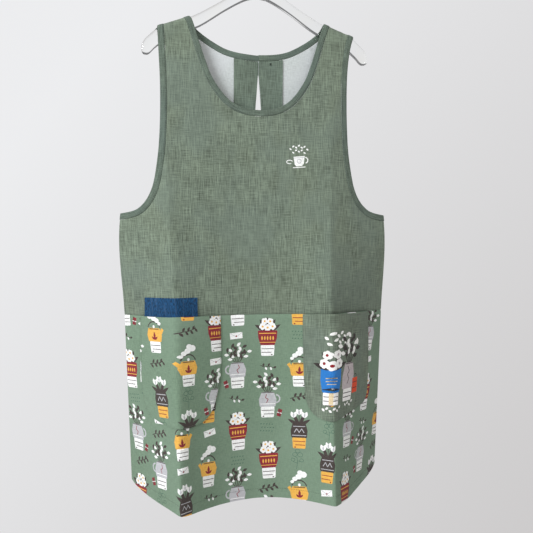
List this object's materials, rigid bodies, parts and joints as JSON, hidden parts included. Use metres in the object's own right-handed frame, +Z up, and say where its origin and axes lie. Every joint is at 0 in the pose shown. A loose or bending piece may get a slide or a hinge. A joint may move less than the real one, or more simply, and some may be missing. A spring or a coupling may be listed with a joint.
{
  "type": "cobbler apron on a clear hanger",
  "caption": "Sleeveless pull-over work apron, plain bodice above a printed skirt with two patch pockets, printed back, hung on a clear plastic hanger.",
  "frame": {"origin": "seat of the hanger's hook: the underside of its bend, where it hangs on a rail", "axes": "+Z up; the apron's front faces -Y; +X is to the viewer's right"},
  "size_m": [0.4758, 0.1651, 0.9578],
  "materials": {
    "green_cloth": "heathered grey-green cloth, matte",
    "print_cloth": "pale grey-green cloth with a small printed pattern, matte",
    "denim": "blue denim twill",
    "button_plastic": "satin",
    "clear_plastic": "clear and glossy",
    "hook_steel": "polished"
  },
  "bodies": {
    "root": {"front_bodice": "green_cloth", "front_skirt": "print_cloth", "back_left": "print_cloth", "back_right": "print_cloth", "facing_left": "green_cloth", "facing_right": "green_cloth", "neck_binding": "green_cloth", "armhole_binding_left": "green_cloth", "armhole_binding_right": "green_cloth", "left_pocket": "print_cloth", "right_pocket": "green_cloth", "denim_tab": "denim", "back_button": "button_plastic", "hanger": "clear_plastic", "hanger_hook": "hook_steel"}
  },
  "joints": []
}
